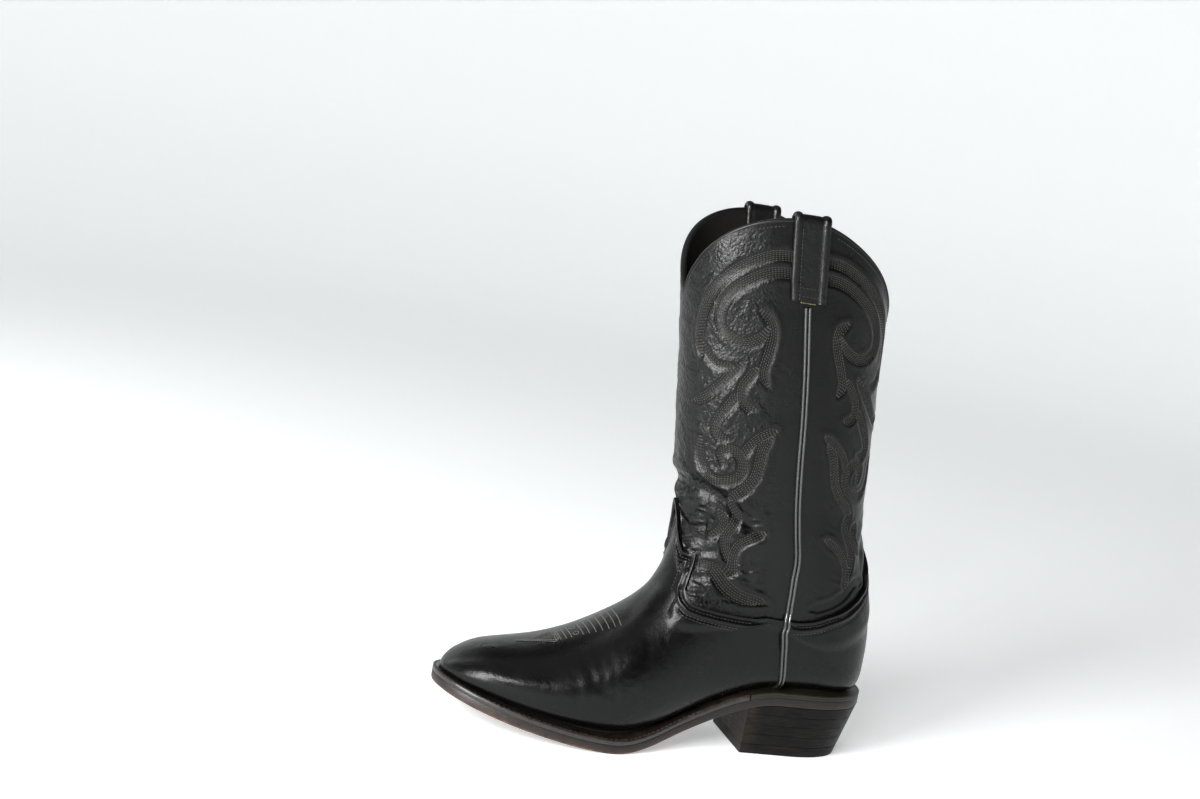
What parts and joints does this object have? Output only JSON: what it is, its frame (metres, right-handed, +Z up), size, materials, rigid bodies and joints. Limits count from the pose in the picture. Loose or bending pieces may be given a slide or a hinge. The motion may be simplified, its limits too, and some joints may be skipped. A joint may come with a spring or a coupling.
{
  "type": "cowboy boot",
  "caption": "Left leather cowboy boot with scalloped shaft, pull straps, side piping, stitched vamp and counter, welted sole and stacked heel.",
  "frame": {"origin": "centre of the heel's bottom face, on the ground", "axes": "+Z up, -X towards the toe, -Y towards the outer (lateral) side of the foot"},
  "size_m": [0.2896, 0.1006, 0.3529],
  "materials": {
    "foot_leather": "smooth black leather, satin polish",
    "shaft_leather": "grained black leather, semi-gloss",
    "lining_leather": "natural tan lining leather, matt",
    "stiffener": "stiff moulded leather board",
    "piping": "black leather piping, glossy",
    "binding": "black leather binding",
    "strap_leather": "black leather, satin",
    "insole_leather": "vegetable-tanned insole leather",
    "sock_leather": "brown sock leather",
    "shank_steel": "plain strip steel",
    "cork": "cork filler",
    "welt_leather": "edge-dressed black leather",
    "rand_leather": "dark olive-brown rand leather",
    "sole_leather": "edge-dressed dark sole leather with worn tan rim",
    "heel_leather": "stacked leather, edge-dressed black",
    "heel_rubber": "black rubber",
    "nail_brass": "clinched brass nails",
    "peg_wood": "pale hardwood pegs",
    "thread": "waxed black thread"
  },
  "bodies": {
    "root": {"vamp": "foot_leather", "heel_counter": "foot_leather", "front_shaft": "shaft_leather", "back_shaft": "shaft_leather", "vamp_lining": "lining_leather", "front_lining": "lining_leather", "back_lining": "lining_leather", "toe_box": "stiffener", "heel_stiffener": "stiffener", "side_piping_outer": "piping", "side_piping_inner": "piping", "top_binding": "binding", "pull_strap_outer": "strap_leather", "pull_strap_inner": "strap_leather", "insole": "insole_leather", "sock_lining": "sock_leather", "steel_shank": "shank_steel", "cork_filler": "cork", "welt": "welt_leather", "heel_rand": "rand_leather", "outsole": "sole_leather", "heel_lift_1": "heel_leather", "heel_lift_2": "heel_leather", "heel_lift_3": "heel_leather", "heel_lift_4": "heel_leather", "top_lift": "heel_rubber", "top_lift_nails": "nail_brass", "shank_pegs": "peg_wood", "welt_thread": "thread", "vamp_thread": "thread", "counter_thread": "thread", "collar_thread": "thread", "strap_thread": "thread"}
  },
  "joints": []
}
